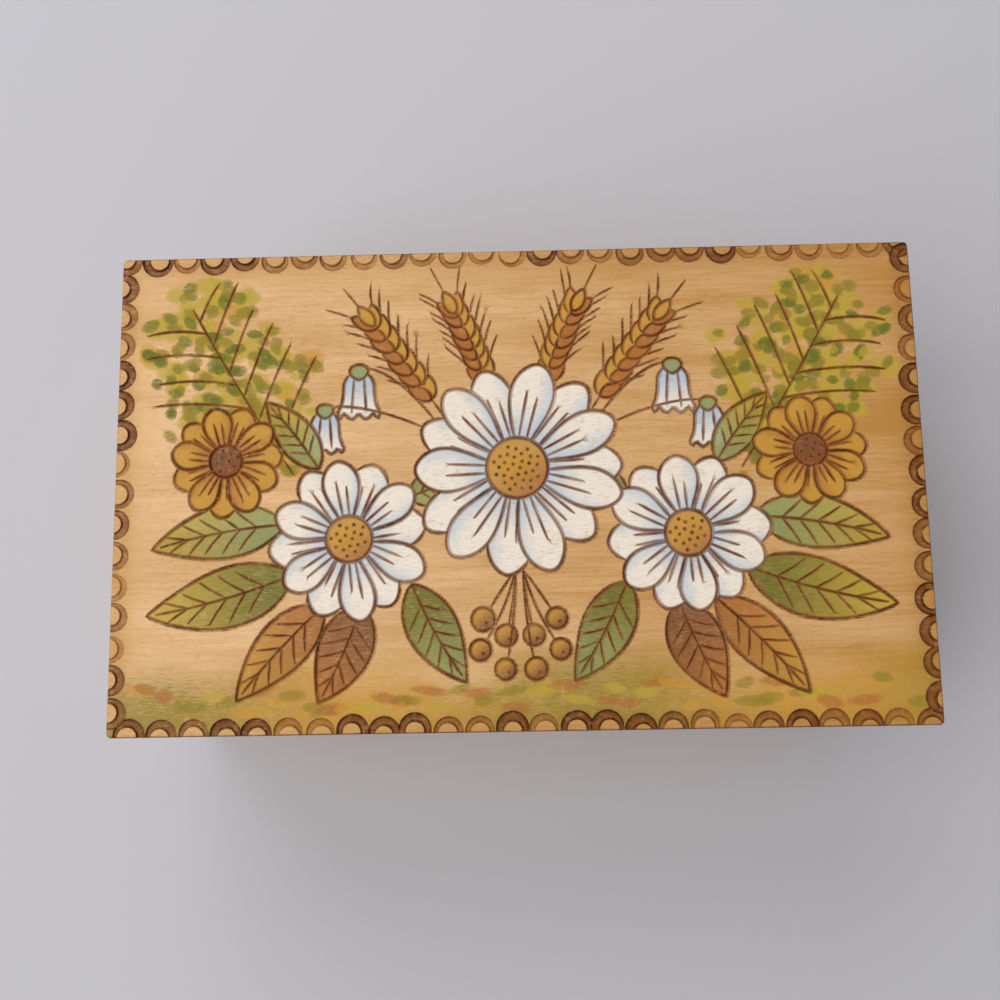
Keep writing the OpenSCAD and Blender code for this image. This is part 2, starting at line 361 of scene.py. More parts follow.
def inside(points, outline):
    """Which of the points lie inside a closed outline."""
    x, y = points[:, 0:1], points[:, 1:2]
    x0, y0 = outline.T
    x1, y1 = np.roll(outline, -1, 0).T
    with np.errstate(divide="ignore", invalid="ignore"):
        crossing = x0 + (y - y0) * (x1 - x0) / (y1 - y0)
    return (((y0 > y) != (y1 > y)) & (x < crossing)).sum(1) % 2 == 1


def ease(low, high, values):
    """Smooth rise from 0 to 1 between two values."""
    t = np.clip((values - low) / (high - low), 0, 1)
    return t * t * (3 - 2 * t)


class Spot:
    """A place on the right half of the lid and a heading in degrees, mirrored to the left if side is -1."""

    def __init__(self, at, heading, side=1):
        self.at = np.asarray(at, float)
        self.side = np.array((side, 1.0))
        turn = math.radians(heading)
        self.turn = np.array(((math.cos(turn), math.sin(turn)), (-math.sin(turn), math.cos(turn))))

    def out(self, points):
        """Points of a motif's own frame on the lid."""
        return (np.asarray(points) @ self.turn + self.at) * self.side

    def back(self, points):
        """Points of the lid in the motif's own frame."""
        return (points * self.side - self.at) @ self.turn.T


class Drawing:
    """Painted fills and burnt lines on the lid, in millimetres from its middle, in the order of work."""

    def __init__(self, carving, paints):
        self.rng = np.random.default_rng(carving.hand)
        self.outline_width = carving.outline_width / MM
        self.vein_width = carving.vein_width / MM
        self.paints = paints
        self.fills = []
        self.lines = []
        self.guides = []

    def fill(self, outline, paint, hides=True):
        """Adds paint, a function from points to colour and cover, which may hide the lines under it."""
        self.fills.append(SimpleNamespace(outline=outline, paint=paint, hides=hides))

    def stroke(self, points, width):
        """Adds an open burnt line."""
        self.add_line(spaced(points, LINE_STEP), width, False)

    def outline(self, points, width):
        """Adds a closed burnt line."""
        self.add_line(points, width, True)

    def shape(self, outline, paint, width):
        """Adds paint that hides what is under it, with a burnt line round it."""
        self.fill(outline, paint)
        self.outline(outline, width)

    def add_line(self, points, width, closed):
        """Keeps a burnt line with the number of fills under it."""
        self.lines.append(SimpleNamespace(points=points, width=width, closed=closed, after=len(self.fills)))

    def dot(self, at):
        """Adds a pricked and burnt dot."""
        self.outline(arc(at, DOT_RADIUS, 0, 300), DOT_WIDTH)

    def jitter(self, value, share):
        """The value, give or take up to that share of it."""
        return value * self.rng.uniform(1 - share, 1 + share)


def blended(amounts, first, second, cover):
    """Colour and cover at points, from the first colour at an amount of 0 to the second at 1."""
    amounts = np.clip(amounts, 0, 1)[:, None]
    colour = np.asarray(first) * (1 - amounts) + np.asarray(second) * amounts
    return np.hstack((colour, np.broadcast_to(np.reshape(cover, (-1, 1)), (len(colour), 1))))


def coat(colour, cover):
    """Paint of one colour and even cover."""
    return lambda points: np.tile((*colour, cover), (len(points), 1))


def petal(art, spot, long, wide, turn, face, shade):
    """An opaque petal, shaded at its foot and along one side, with two short veins."""

    def paint(points):
        local = spot.back(points)
        foot = 1 - ease(0.15, 0.62, local[:, 0] / long)
        edge = ease(0.15, 0.95, -local[:, 1] / (wide / 2))
        return blended(0.85 * foot + 0.6 * edge, face, shade, 0.97)

    art.shape(spot.out(bend(blade(long, wide, **PETAL), turn, long)), paint, art.outline_width)
    for across in (-0.13, 0.13):
        tip = art.jitter(0.62, 0.12) * long
        vein = np.array(((0.2 * long, across * wide * 0.7), (tip, across * wide)))
        art.stroke(spot.out(bend(vein, turn, long)), art.vein_width)


def ball(art, centre, radius, span, light, dark, cover, width):
    """A round thing, light at the upper left and dark at the lower right."""

    def paint(points):
        local = (points - centre) / radius
        return blended(ease(*span, local[:, 0] * 0.6 - local[:, 1] * 0.8), light, dark, cover)

    art.shape(arc(centre, radius, 0, 360)[:-1], paint, width)


def daisy(art, centre, radius, petals, turn, side, face, shade, disc_light, disc_dark):
    """A daisy seen from the front: every second petal lies over its neighbours, round a dotted disc."""
    centre = np.array(centre, float) * (side, 1)
    disc = 0.29 * radius
    foot = 0.45 * disc
    wide = 5.6 * radius / petals
    for first in (0, 1):
        for k in range(first, petals, 2):
            heading = turn + 360 * k / petals + art.rng.uniform(-2.5, 2.5)
            spot = Spot(centre + foot * toward(math.radians(heading)), heading)
            long = art.jitter(radius - foot, 0.04)
            petal(art, spot, long, art.jitter(wide, 0.06), art.rng.uniform(-9, 9), face, shade)
    ball(art, centre, disc, (-0.4, 1.2), disc_light, disc_dark, 0.95, art.outline_width)
    dots = max(9, round(disc * disc * 1.3))
    for k in range(dots):
        reach = 0.8 * disc * math.sqrt((k + 0.5) / dots)
        swing = k * math.pi * (3 - math.sqrt(5))
        art.dot(centre + reach * toward(swing))


def leaf(art, spot, long, wide, turn, foot_colour, tip_colour):
    """A broad leaf with a midrib and side veins, one half of it darker than the other."""

    def paint(points):
        local = spot.back(points)
        mixed = blended(ease(0.1, 0.95, local[:, 0] / long), foot_colour, tip_colour, 0.86)
        mixed[:, :3] *= (1 - 0.16 * ease(-0.3, 0.3, -local[:, 1]))[:, None]
        return mixed

    art.shape(spot.out(bend(blade(long, wide, **LEAF), turn, long)), paint, art.outline_width)
    rib = np.array(((-0.12 * long, 0), (0.4 * long, 0), (0.93 * long, 0)))
    art.stroke(spot.out(bend(spaced(rib, LINE_STEP), turn, long)), art.jitter(art.vein_width, 0.1))
    for along in np.linspace(0.2, 0.72, 5):
        reach = art.jitter(0.8, 0.1) * half_width(along + 0.15, wide, **LEAF)
        for side in (-1, 1):
            knee = ((along + 0.09) * long, side * 0.55 * reach)
            vein = np.array(((along * long, 0), knee, ((along + 0.15) * long, side * reach)))
            art.stroke(spot.out(bend(vein, turn, long)), 0.85 * art.vein_width)


def broad_leaves(art, side):
    """Outlined leaves round the lower flowers."""
    paints = art.paints
    leaves = (
        ((32, 3), 58, 14, 6, -12, paints.sage, paints.lime),
        ((37.5, -6), -3, 21.5, 8.5, -14, paints.sage, paints.lime),
        ((36, -14), -22, 24, 9.5, 14, paints.leaf, paints.lime),
        ((31, -19), -42, 20, 8, -10, paints.orange, paints.ochre),
        ((25, -19), -72, 16.5, 8.5, 12, paints.brown, paints.orange),
        ((17, -16), -112, 17.5, 8, -14, paints.leaf, paints.sage),
        ((17.5, -2), 158, 11, 6, 10, paints.sage, paints.lime),
    )
    for at, heading, long, wide, turn, foot_colour, tip_colour in leaves:
        leaf(art, Spot(at, heading, side), long, wide, turn, foot_colour, tip_colour)


def dab(art, at, heading, long, wide, colour, cover, side):
    """A touch of a round brush with thin paint, weaker at its edge."""
    spot = Spot(at, heading, side)
    shape = blade(long, wide, step=DAB_STEP, **DAB) - (long / 2, 0)
    shape *= art.rng.uniform(0.82, 1.14, (len(shape), 1))

    def paint(points):
        reach = np.linalg.norm(spot.back(points) / (long / 2, wide / 2), axis=1)
        strength = cover * (1 - 0.75 * ease(0.65, 1.05, reach))
        return blended(np.zeros(len(points)), colour, colour, strength)

    art.fill(spot.out(shape), paint, hides=False)
    art.guides.append(spot.out(0.62 * shape[::2]))


def foliage(art, side):
    """A leafy spray: light dabs, burnt twigs and then darker dabs along them."""
    rng = art.rng
    paints = art.paints
    low, high = (24, -1), (60.3, 34.3)
    stem = sweep((36, 2), (44, 14), (53, 30))
    twigs = [stem]
    for k, share in enumerate(np.linspace(0.1, 0.94, 12)):
        foot = stem[int(share * (len(stem) - 1))]
        heading = math.radians(58 - 8 * share + (56 if k % 2 else -52))
        reach = art.jitter(17 - 7 * share, 0.12)
        tip = np.clip(foot + reach * toward(heading), low, high)
        twigs.append(sweep(foot, foot + 0.55 * (tip - foot) + (0, 1.2), tip))
    light, dark = [], []
    for twig in twigs:
        for at in twig[3::4]:
            light.append(np.clip(at + rng.normal(0, 1.5, 2), low, high))
            for reach in (-1, 1):
                dark.append(np.clip(at + rng.normal(0, 0.9, 2) + (0.9 * reach, 1.4 * reach), low, high))
    for at in light:
        colour = (paints.lime, paints.lime, paints.lime, paints.ochre)[rng.integers(4)]
        dab(art, at, rng.uniform(-25, 45), art.jitter(4.6, 0.25), art.jitter(3.4, 0.2), colour, 0.8, side)
    for twig in twigs:
        art.stroke(twig * (side, 1), art.vein_width)
    shades = (paints.leaf, paints.leaf, paints.olive, paints.olive, paints.olive, paints.lime)
    for at in dark:
        colour = shades[rng.integers(len(shades))]
        long, wide = art.jitter(2.9, 0.25), art.jitter(2.1, 0.2)
        dab(art, at, rng.uniform(-30, 60), long, wide, colour, rng.uniform(0.7, 0.97), side)


def wheat_ear(art, foot, pull, tip, side):
    """An ear of wheat: overlapping pairs of gold grains up a curved stalk, with fine awns."""
    stalk = sweep(foot, pull, tip)
    last = len(stalk) - 1
    art.stroke(stalk * (side, 1), art.vein_width)

    def grain(share, lean, long, colour):
        place = int(share * last)
        ahead = stalk[min(place + 2, last)] - stalk[place - 2]
        spot = Spot(stalk[place], math.degrees(math.atan2(ahead[1], ahead[0])) + lean * 27, side)
        awn = ((0.9 * long, 0), (1.4 * long, lean * 0.1), (art.jitter(1.9, 0.1) * long, lean * 0.45))
        art.stroke(spot.out(awn), 0.8 * art.vein_width)
        outline = spot.out(blade(long, 0.49 * long, **GRAIN))
        art.shape(outline, coat(colour, 0.93), 0.8 * art.outline_width)

    for share in np.linspace(0.34, 0.9, 7):
        grain(share, 1, art.jitter(4.3, 0.06), art.paints.ochre)
        grain(share, -1, art.jitter(4.3, 0.06), art.paints.orange)
    grain(0.93, 0, 4.2, art.paints.ochre)


def bellflower(art, foot, pull, hook, size, side):
    """A pale blue bell that nods on a curved stalk, its mouth cut into points."""
    art.stroke(sweep(foot, pull, hook) * (side, 1), art.vein_width)
    spot = Spot(hook, -90, side)
    down = np.linspace(0, 1, 21)
    half = size * (0.4 * np.sin(math.pi / 2 * np.minimum(1, down / 0.4)) ** 0.8 + 0.16 * down**5)
    mouth = np.linspace(1, -1, 25)[1:-1]
    rim = np.column_stack((size * (1.2 + 0.17 * np.abs(np.sin(1.5 * math.pi * mouth))), half[-1] * mouth))
    wall = np.column_stack((1.2 * size * down, half))
    outline = spot.out(spaced(np.vstack((wall, rim, (wall * (1, -1))[::-1])), LINE_STEP)[:-1])

    def paint(points):
        local = spot.back(points)
        return blended(ease(0.3, 1.25, local[:, 0] / size), art.paints.blue, art.paints.white, 0.95)

    art.shape(outline, paint, art.outline_width)
    for across in (-0.19, 0.19):
        vein = ((0.3 * size, 0.7 * across * size), (1.15 * size, across * size))
        art.stroke(spot.out(vein), art.vein_width)
    calyx = spot.out(blade(0.42 * size, 0.5 * size, **CALYX) - (0.1 * size, 0))
    art.shape(calyx, coat(art.paints.sage, 0.9), 0.8 * art.outline_width)


def berries(art, side):
    """Orange-brown berries with a dark eye, on short stalks below the middle flower."""
    paints = art.paints
    for at in BERRIES:
        art.stroke(sweep((0.6, -14), (0.35 * at[0], at[1] + 6), at) * (side, 1), art.vein_width)
        radius = art.jitter(1.75, 0.08)
        centre = np.asarray(at) * (side, 1)
        ball(art, centre, radius, (-0.9, 0.9), paints.ochre, paints.brown, 0.93, 0.9 * art.outline_width)
        art.dot(centre + (0.25 * radius, -0.3 * radius))


def ground_wash(art, half):
    """Thin ochre and olive paint that fades upwards from the lower border, with grassy dabs in it."""
    top = -22
    outline = np.array(((-half[0], -half[1]), (half[0], -half[1]), (half[0], top), (-half[0], top)))

    def paint(points):
        wave = 1.6 * np.sin(points[:, 0] / 7.3) + 1.1 * np.sin(points[:, 0] / 3.1 + 1)
        cover = 0.8 * (1 - ease(-34 + wave, top - 3 + wave, points[:, 1]))
        green = 0.5 + 0.5 * np.sin(points[:, 0] / 11 + 0.6)
        return blended(green, art.paints.ochre, art.paints.olive, cover)

    art.fill(outline, paint, hides=False)
    shades = (art.paints.olive, art.paints.lime, art.paints.ochre, art.paints.orange)
    for x in np.arange(-60, 60.5, 2.4):
        at = (x + art.rng.normal(0, 0.8), art.rng.uniform(-35.5, -31.5))
        colour = shades[art.rng.integers(len(shades))]
        dab(art, at, art.rng.normal(0, 8), art.jitter(5.5, 0.3), art.jitter(1.9, 0.2), colour, 0.7, 1)


def draw_lid(art, half):
    """The whole design: a mirrored spray of daisies, wheat, bells, berries and leaves."""
    paints = art.paints
    white = (paints.white, paints.blue, paints.ochre, paints.orange)
    gold = (paints.ochre, paints.orange, paints.brown, paints.scorched)
    ground_wash(art, half)
    for side in (-1, 1):
        foliage(art, side)
        for ear in WHEAT_EARS:
            wheat_ear(art, *ear, side)
        for bell in BELLS:
            bellflower(art, *bell, side)
        broad_leaves(art, side)
        berries(art, side)
        daisy(art, *GOLD_DAISY, side, *gold)
    for side in (-1, 1):
        daisy(art, *WHITE_DAISY, side, *white)
    daisy(art, *MIDDLE_DAISY, 1, *white)


def edge_distance(points, half, radius):
    """Distance of points inside the edge of a rounded rectangle about the origin."""
    beyond = np.abs(points) - (np.asarray(half) - radius)
    return radius - np.linalg.norm(np.maximum(beyond, 0), axis=1) - np.minimum(beyond.max(1), 0)


def rounded_rectangle(half, radius, inset):
    """Closed outline of a rounded rectangle about the origin, drawn in by inset."""
    centres = np.asarray(half) - radius
    corners = [
        arc(centres * sign, radius - inset, start, start + 90, CORNER_STEP)
        for sign, start in (((1, 1), 0), ((-1, 1), 90), ((-1, -1), 180), ((1, -1), 270))
    ]
    return np.vstack(corners)


def heated(values, heat):
    """A value of a border mark at some heat."""
    at_none, change = values
    return at_none + change * heat


def border_rings(carving, half):
    """Half-ring marks along the four edges, each a little off its place. The strongest are the broadest."""
    rng = np.random.default_rng(carving.hand + 1)
    inset = carving.ring_inset / MM
    outer, inner = carving.ring_outer / 2 / MM, carving.ring_inner / 2 / MM
    edges = (
        (BACK_MARKS, (1, 0), (0, -1), half),
        (FRONT_MARKS, (1, 0), (0, 1), half),
        (LEFT_MARKS, (0, 1), (1, 0), half[::-1]),
        (RIGHT_MARKS, (0, 1), (-1, 0), half[::-1]),
    )
    rings = []
    for (count, first, last, burn), along, inward, (start, reach) in edges:
        along, inward = np.array(along, float), np.array(inward, float)
        heats = np.clip(rng.uniform(burn - HEAT_SPREAD, burn + HEAT_SPREAD, count), LEAST_HEAT, 1.0)
        heats[[0, -1]] = rng.uniform(*CORNER_HEAT, 2)
        for place, heat in zip(np.linspace(first, last, count) - start, heats):
            depth = inset + rng.uniform(*MARK_ACROSS)
            middle = along * (place + rng.uniform(-MARK_ALONG, MARK_ALONG)) - inward * (reach - depth)
            hollow = middle - inward * rng.uniform(*HOLLOW_OUT)
            hollow += along * rng.uniform(-HOLLOW_ALONG, HOLLOW_ALONG)
            rings.append(
                SimpleNamespace(
                    outer=middle,
                    outer_radius=outer * heated(MARK_SIZE, heat) * rng.uniform(*MARK_SHAKE),
                    inner=hollow,
                    inner_radius=inner * heated(HOLLOW_SIZE, heat) * rng.uniform(*HOLLOW_SHAKE),
                    facing=math.atan2(inward[1], inward[0]),
                    depth=depth,
                    heat=heat,
                    skew=rng.uniform(-MARK_SKEW, MARK_SKEW),
                    phase=rng.uniform(0, math.tau),
                )
            )
    return rings


def ring_paths(ring, wall):
    """Arcs that the mesh follows in a border mark: its two edges, their slopes and the burnt rims."""
    outside = (ring.outer, ring.outer_radius, (wall, 0, -wall, -2 * wall))
    hollow = (ring.inner, ring.inner_radius, (-wall, 0, wall, 2.5 * wall, 4 * wall))
    facing = math.degrees(ring.facing)
    for centre, radius, offsets in (outside, hollow):
        for offset in offsets:
            reach = radius + offset
            swing = 90 + math.degrees(math.asin(min(0.9, (ring.depth + PAST_EDGE) / reach)))
            yield arc(centre, reach, facing - swing, facing + swing)


def ring_marks(points, rings, wall, paints):
    """Depth of the border marks as a share, their burnt colour and cover, and what lies in a hollow."""
    depth = np.zeros(len(points))
    burnt = np.zeros((len(points), 4))
    hollow = np.zeros(len(points), bool)
    for ring in rings:
        near = np.flatnonzero((np.abs(points - ring.outer) < ring.outer_radius + 1).all(1))
        offset = points[near] - ring.outer
        within = ring.outer_radius - np.linalg.norm(offset, axis=1)
        beyond = np.linalg.norm(points[near] - ring.inner, axis=1) - ring.inner_radius
        band = np.minimum(within, beyond)
        hollow[near] |= beyond < 0
        swing = np.arctan2(offset[:, 1], offset[:, 0]) - ring.facing
        deep = 0.5 + 0.5 * np.cos(swing - ring.skew)
        ripple = 0.55 * np.sin(3 * swing + ring.phase) + 0.45 * np.sin(11 * swing + 3 * ring.phase)
        uneven = 1 - heated(PATCHY, ring.heat) * (1 + ripple)
        pressed = np.clip(band / wall, 0, 1) * heated(MARK_DEPTH, ring.heat)
        depth[near] = np.maximum(depth[near], pressed)

        # A light mark fades towards its ends
        tapered = 1 - TAPER * (1 - ring.heat) * (1 - deep)
        cover = ease(-0.8 * wall, 0.8 * wall, band) * heated(MARK_COVER, ring.heat) * uneven * tapered
        heat = np.full(len(near), ring.heat)
        burnt[near] = lay_over(burnt[near], blended(heat, paints.ring_pale, paints.ring_dark, cover))

        # Both rims are charred, the inner one most where the mark is deep
        crescent = wall * (1.7 + 2.9 * ring.heat * deep * uneven)
        inner_rim = ease(-wall, 0.2 * wall, beyond) * (1 - ease(0.5 * wall, crescent, beyond))
        outer_rim = ease(-1.2 * wall, 0, within) * (1 - ease(0.5 * wall, (2.5 + ring.heat) * wall, within))
        inner_rim *= ease(-wall, 0, within) * heated(INNER_RIM, ring.heat)
        outer_rim *= ease(-wall, 0, beyond) * heated(OUTER_RIM, ring.heat) * tapered
        rim = np.maximum(inner_rim, outer_rim) * uneven
        burnt[near] = lay_over(burnt[near], blended(heat, paints.scorched, paints.char, rim))
    return depth, burnt, hollow


def shown_runs(line, fills):
    """Stretches of a burnt line that no later opaque paint covers, each with whether it is closed."""
    points = line.points
    shown = np.ones(len(points), bool)
    for fill in fills[line.after :]:
        if fill.hides:
            shown &= ~inside(points, fill.outline)
    if shown.all():
        return [(points, line.closed)]
    if line.closed:
        first = int(np.argmin(shown))
        points, shown = np.roll(points, -first, 0), np.roll(shown, -first)
    groups = np.split(np.arange(len(points)), np.flatnonzero(np.diff(shown)) + 1)
    return [(points[group], False) for group in groups if shown[group[0]] and len(group) > 2]


def wander(rng, count, low, high, closed):
    """Values that drift slowly between two limits along a line's points."""
    knots = rng.uniform(low, high, count // 9 + 3)
    if closed:
        knots[-1] = knots[0]
    return np.interp(np.linspace(0, len(knots) - 1, count), np.arange(len(knots)), knots)


def ribbon(points, closed, width, rng):
    """A burnt line's points with its sideways direction, half width and heat at each, and its darker side."""
    ahead, behind = np.roll(points, -1, 0), np.roll(points, 1, 0)
    if not closed:
        ahead[-1], behind[0] = points[-1], points[0]
    along = ahead - behind
    along /= np.maximum(np.linalg.norm(along, axis=1), 1e-6)[:, None]
    count = len(points)
    half = width / 2 * wander(rng, count, *LINE_SWELL, closed) * rng.uniform(*LINE_SHAKE, count)
    if not closed:
        from_end = np.minimum(np.arange(count), np.arange(count)[::-1])
        half *= np.clip(0.4 + 0.3 * from_end, 0, 1)
    return SimpleNamespace(
        points=points,
        across=np.column_stack((-along[:, 1], along[:, 0])),
        half=half,
        heat=wander(rng, count, *LINE_HEAT, closed),
        lean=rng.uniform(*CORE_LEAN) * rng.choice((-1, 1)),
        closed=closed,
    )


def line_marks(points, ribbons, scorch):
    """How far points lie inside the grooves, in millimetres, and their scorch and char as shares."""
    parts = []
    for r in ribbons:
        data = np.column_stack((r.points, r.half, r.heat, np.full(len(r.points), r.lean)))
        spans = np.hstack((data, np.roll(data, -1, 0)))
        parts.append(spans if r.closed else spans[:-1])
    starts, ends = np.split(np.vstack(parts), 2, axis=1)

    tree = kdtree.KDTree(len(points))
    for k, (x, y) in enumerate(points):
        tree.insert((x, y, 0), k)
    tree.balance()
    reach = starts[:, 2].max() + scorch + LINE_STEP
    middles = (starts[:, :2] + ends[:, :2]) / 2
    pairs = [(i, k) for k, (x, y) in enumerate(middles) for _, i, _ in tree.find_range((x, y, 0), reach)]
    who, span = np.array(pairs).T

    start, run = starts[span], (ends - starts)[span]
    offset = points[who] - start[:, :2]
    square = np.maximum((run[:, :2] ** 2).sum(1), 1e-9)
    share = np.clip((offset * run[:, :2]).sum(1) / square, 0, 1)[:, None]
    nearest = start + share * run
    far = np.linalg.norm(points[who] - nearest[:, :2], axis=1)
    left = np.sign(run[:, 0] * offset[:, 1] - run[:, 1] * offset[:, 0])
    half, hot, lean = nearest[:, 2:].T
    off_core = np.abs(far * left - lean * half)
    depth, burnt, core = (np.zeros(len(points)) for _ in range(3))
    np.maximum.at(depth, who, half - far)
    scorched = np.clip((half + scorch - far) / (0.8 * scorch + 0.3 * half), 0, 1)
    np.maximum.at(burnt, who, (0.5 + 0.5 * hot) * scorched)
    np.maximum.at(core, who, hot * np.clip(1.5 * (1 - off_core / (0.95 * half)), 0, 1))
    return depth, burnt, core


def lay_over(under, over):
    """Paint that results where one coat lies over another. The last channel is cover."""
    cover = over[..., 3:]
    left = under[..., 3:] * (1 - cover)
    total = cover + left
    mixed = (over[..., :3] * cover + under[..., :3] * left) / np.maximum(total, 1e-6)
    return np.concatenate((np.where(total > 1e-6, mixed, over[..., :3]), total), -1)


def painted_corners(points, faces, fills):
    """Colour and cover at each corner of each triangle, with the fills laid on in order."""
    corners = points[faces]
    middles = corners.mean(1)
    paint = np.zeros((len(faces), 3, 4))
    for fill in fills:
        low, high = fill.outline.min(0), fill.outline.max(0)
        near = np.flatnonzero(((middles > low) & (middles < high)).all(1))
        hit = near[inside(middles[near], fill.outline)]
        if hit.size:
            wet = fill.paint(corners[hit].reshape(-1, 2)).reshape(-1, 3, 4)
            paint[hit] = lay_over(paint[hit], wet)
    return paint


def lid_triangles(half, carving, art, ribbons, rings):
    """Points and triangles of the lid's top that follow every outline, groove and mark on it."""
    points, edges = [], []

    def follow(path, closed):
        first = len(points)
        points.extend(Vector(p) for p in path)
        edges.extend((first + k, first + k + 1) for k in range(len(path) - 1))
        if closed:
            edges.append((first + len(path) - 1, first))

    radius, scorch = carving.corner_radius / MM, carving.scorch / MM
    for share in (0, 0.25, 0.6, 1):
        follow(rounded_rectangle(half, radius, share * carving.edge_round / MM), True)
    for outline in [fill.outline for fill in art.fills] + art.guides:
        follow(outline, True)
    for r in ribbons:
        follow(r.points, r.closed)
        for side in (-1, 1):
            for offset in (0, scorch):
                follow(r.points + side * r.across * (r.half + offset)[:, None], r.closed)
    for ring in rings:
        for path in ring_paths(ring, carving.ring_wall / MM):
            follow(path, False)
    spacing = carving.facet / MM
    columns = np.arange(-half[0] + spacing, half[0] - 0.5 * spacing, spacing)
    rows = np.arange(-half[1] + spacing, half[1] - 0.5 * spacing, spacing)
    grid = np.stack(np.meshgrid(columns, rows), -1).reshape(-1, 2)
    points.extend(Vector(p) for p in grid + art.rng.uniform(-STRAY, STRAY, grid.shape) * spacing)

    made, _, faces, *_ = geometry.delaunay_2d_cdt(points, edges, [], 1, MERGE, False)
    made = np.array([tuple(p) for p in made])
    faces = np.array(faces)
    kept = edge_distance(made[faces].mean(1), half, radius) > 0
    used, faces = np.unique(faces[kept], return_inverse=True)
    return np.clip(made[used], -half, half), faces.reshape(-1, 3)


def fading(from_edge, cover, near, far):
    """Cover that fades out between two distances from the edge."""
    return cover * (1 - ease(near, far, from_edge))


def carved_lid(carving, paints, joint):
    """Mesh of the lid board: its carved top, its sides and its underside, with the paint in an attribute."""
    low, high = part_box("lid_panel")
    half = np.array((high - low)[:2]) / 2 / MM
    art = Drawing(carving, paints)
    draw_lid(art, half)
    rings = border_rings(carving, half)
    ribbons = [
        ribbon(points, closed, line.width, art.rng)
        for line in art.lines
        for points, closed in shown_runs(line, art.fills)
    ]
    points, faces = lid_triangles(half, carving, art, ribbons, rings)

    groove, burnt, core = line_marks(points, ribbons, carving.scorch / MM)
    slope = 2 * carving.groove_depth / carving.outline_width
    pressed, ring_burn, hollow = ring_marks(points, rings, carving.ring_wall / MM, paints)
    from_edge = np.maximum(edge_distance(points, half, carving.corner_radius / MM), 0)
    round_off = carving.edge_round / MM
    drop = round_off - np.sqrt(round_off**2 - np.maximum(round_off - from_edge, 0) ** 2)
    cut = np.maximum(groove * slope, pressed * carving.ring_depth / MM)
    places = np.column_stack((points * MM, high.z - np.maximum(drop, cut) * MM))

    plain = np.zeros(len(points))
    # The stain along the border darkens from the left towards the right
    rightward = ease(-half[0], half[0], points[:, 0])
    stain = blended(rightward, paints.stain, paints.stain_dark, fading(from_edge, *STAIN))
    smoke = blended(plain, paints.ring_pale, paints.ring_pale, fading(from_edge, *SMOKE))
    stain = lay_over(stain, smoke)
    line_burn = blended(core, paints.scorched, paints.char, LINE_COVER * burnt)
    # The line round the top edge is burnt and also painted shade: darkest along the front, which faces away
    # from the light, and faintest along the left, which faces it
    front, left = (points[:, k] < EDGE_LINE - half[k] for k in (1, 0))
    edge_darkness = np.where(front, FRONT_BURN_AND_SHADE, np.where(left, LEFT_BURN_AND_SHADE, EDGE_BURN_AND_SHADE))
    edge_cover = fading(from_edge, edge_darkness, EDGE_CORE, EDGE_LINE)
    edge_burn_and_shade = blended(plain + 0.5, paints.scorched, paints.char, edge_cover)
    picture = painted_corners(points, faces, art.fills)
    picture[hollow[faces]] = 0
    paint = lay_over(stain[faces], picture)
    for burn in (line_burn, ring_burn, edge_burn_and_shade):
        paint = lay_over(paint, burn[faces])

    mesh = bpy.data.meshes.new("carved_lid_board")
    mesh.from_pydata(places.tolist(), [], faces.tolist())
    attribute = mesh.color_attributes.new("paint", "FLOAT_COLOR", "CORNER")
    attribute.data.foreach_set("color", paint.astype(np.float32).ravel())
    # The lip below the edge carries the stain, the border marks, and the edge's burn and painted shade
    lip_burn_and_shade = lay_over(stain, lay_over(ring_burn, edge_burn_and_shade))
    close_board(mesh, low, high, joint, lip_burn_and_shade)
    return mesh


def close_board(mesh, low, high, joint, lip_burn_and_shade):
    """Gives a carved top a burnt lip with the painted shade of the edge above it, sides with end grain, an
    eased lower edge and an underside.
    """
    bare = (*lip_burn_and_shade.mean(0)[:3].tolist(), 0.0)
    bm = bmesh.new()
    bm.from_mesh(mesh)
    layer = bm.loops.layers.float_color["paint"]
    top_faces, top_corners = len(bm.faces), len(bm.verts)
    rim = [edge for edge in bm.edges if edge.is_boundary]
    for level, inset in ((high.z - LIP * MM, 0), (low.z + joint, 0), (low.z, joint)):
        made = bmesh.ops.extrude_edge_only(bm, edges=rim)["geom"]
        rim = [g for g in made if isinstance(g, bmesh.types.BMEdge) and g.is_boundary]
        for v in {v for edge in rim for v in edge.verts}:
            v.co = (v.co.x * (1 - inset / high.x), v.co.y * (1 - inset / high.y), level)
    bmesh.ops.edgeloop_fill(bm, edges=rim)
    bmesh.ops.recalc_face_normals(bm, faces=bm.faces)
    bm.verts.index_update()
    bm.faces.ensure_lookup_table()
    with_end_grain(bm.faces[top_faces:], "X")
    for face in bm.faces[top_faces:]:
        for loop in face.loops:
            corner = loop.vert.index
            loop[layer] = lip_burn_and_shade[corner].tolist() if corner < top_corners else bare
    bm.to_mesh(mesh)
    bm.free()


def feed(tree, node, inputs):
    """Sets a node's inputs, or links them to a socket or to the first output of another node."""
    for name, value in inputs.items():
        socket = node.inputs[name]
        if isinstance(value, bpy.types.Node):
            value = next(output for output in value.outputs if output.enabled)
        if isinstance(value, bpy.types.NodeSocket):
            tree.links.new(value, socket)
        else:
            socket.default_value = (*value, 1.0) if socket.type == "RGBA" else value


def add(tree, kind, inputs=None, **settings):
    """Adds a node with its settings and its inputs."""
    node = tree.nodes.new("ShaderNode" + kind)
    for name, value in settings.items():
        setattr(node, name, value)
    feed(tree, node, inputs or {})
    return node


def new_material(name):
    """A material with its node tree, its surface shader and the places on the object."""
    material = bpy.data.materials.new(name)
    material.use_nodes = True
    tree = material.node_tree
    return material, tree, tree.nodes["Principled BSDF"], add(tree, "TexCoord").outputs["Object"]


